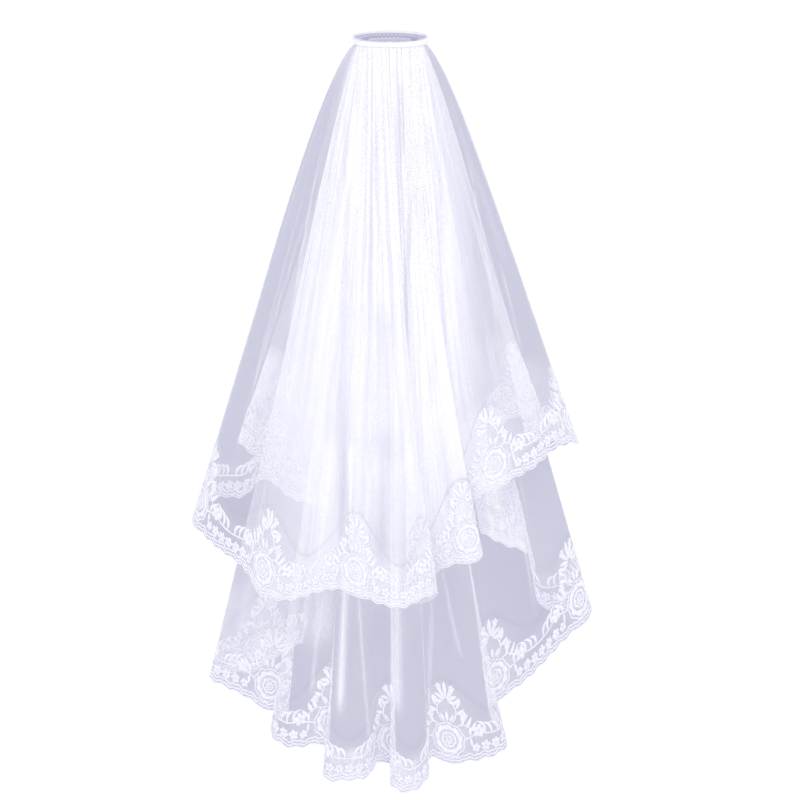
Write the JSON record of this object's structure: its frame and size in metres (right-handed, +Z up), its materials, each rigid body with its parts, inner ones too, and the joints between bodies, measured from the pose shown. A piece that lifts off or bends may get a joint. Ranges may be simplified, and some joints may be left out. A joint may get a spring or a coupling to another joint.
{
  "type": "bridal veil",
  "caption": "Two-tier bridal veil of white tulle, gathered into a narrow band over a hair comb, with scalloped rose-and-leaf lace round both hems",
  "frame": {"origin": "middle of the comb's spine, where the veil is held in the hair", "axes": "+Z up along the veil's length, +Y towards the wearer's face, +X towards the right as the veil is seen from behind"},
  "size_m": [0.4742, 0.2711, 0.8965],
  "materials": {
    "tulle": "sheer soft net, whiter where it gathers",
    "lace": "raised satin-stitch embroidery on clear net",
    "satin_tape": "narrow stitched tape",
    "comb_plastic": "pale translucent-looking plastic"
  },
  "bodies": {
    "root": {"upper_tier_tulle": "tulle", "upper_tier_lace": "lace", "lower_tier_tulle": "tulle", "lower_tier_lace": "lace", "gathering_band": "satin_tape", "hair_comb": "comb_plastic"}
  },
  "joints": []
}
